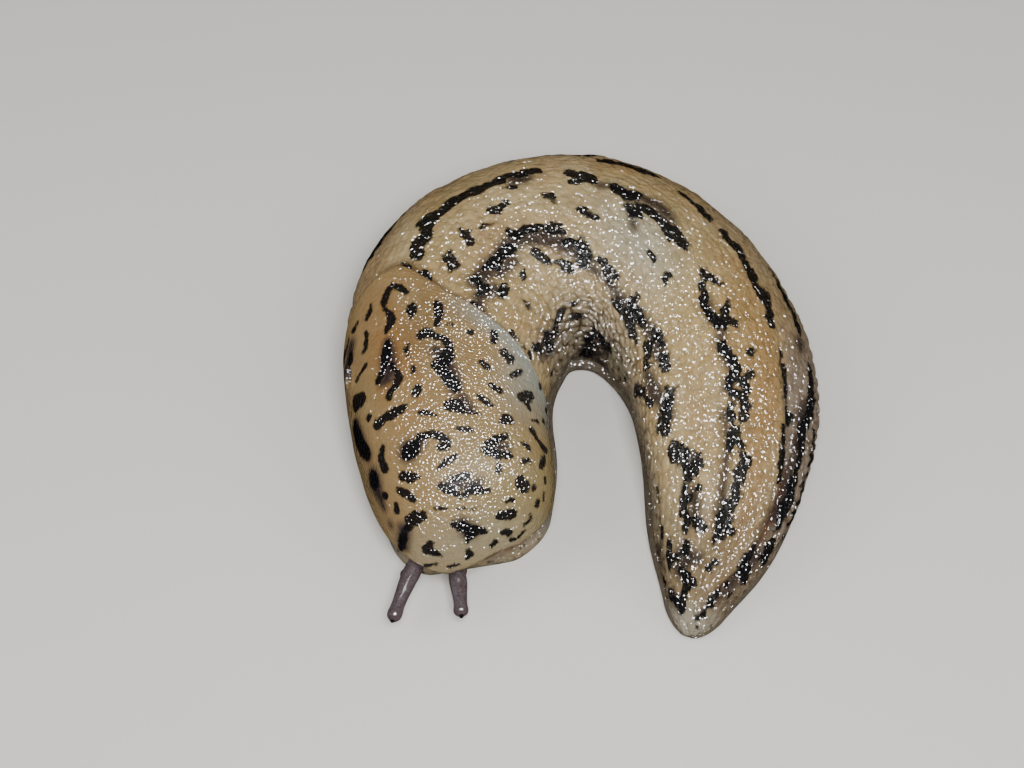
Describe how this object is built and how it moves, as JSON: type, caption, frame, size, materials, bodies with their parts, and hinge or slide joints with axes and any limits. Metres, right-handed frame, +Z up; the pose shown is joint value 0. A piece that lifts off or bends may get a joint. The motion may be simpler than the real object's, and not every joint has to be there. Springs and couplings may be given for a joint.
{
  "type": "leopard slug model",
  "caption": "Life-size land slug resting on its sole in a tight bend, head drawn in under a smooth spotted mantle, stalked eyes out, keeled tail.",
  "frame": {"origin": "centre of the floor rectangle under the whole slug, on the floor", "axes": "+Z up from the sole, -Y the way the head faces, +X from the head's side of the bend to the tail's side"},
  "size_m": [0.0526, 0.0584, 0.0171],
  "materials": {
    "spotted_skin": "wet, beaded skin, tan with black blotches",
    "mantle_skin": "wet, smooth skin with fine ridges, tan with black spots",
    "tentacle_skin": "wet, smooth, slightly see-through grey skin",
    "eye_black": "wet gloss black"
  },
  "bodies": {
    "root": {"head": "spotted_skin", "neck": "spotted_skin", "torso_shoulder": "spotted_skin", "torso_front": "spotted_skin", "torso_bend": "spotted_skin", "torso_middle": "spotted_skin", "torso_rear": "spotted_skin", "tail": "spotted_skin", "foot_front": "spotted_skin", "foot_shoulder": "spotted_skin", "foot_bend": "spotted_skin", "foot_middle": "spotted_skin", "foot_rear": "spotted_skin", "mantle": "mantle_skin", "upper_tentacle_left": "tentacle_skin", "upper_tentacle_right": "tentacle_skin", "lower_tentacle_left": "tentacle_skin", "lower_tentacle_right": "tentacle_skin", "eye_left": "eye_black", "eye_right": "eye_black"}
  },
  "joints": []
}
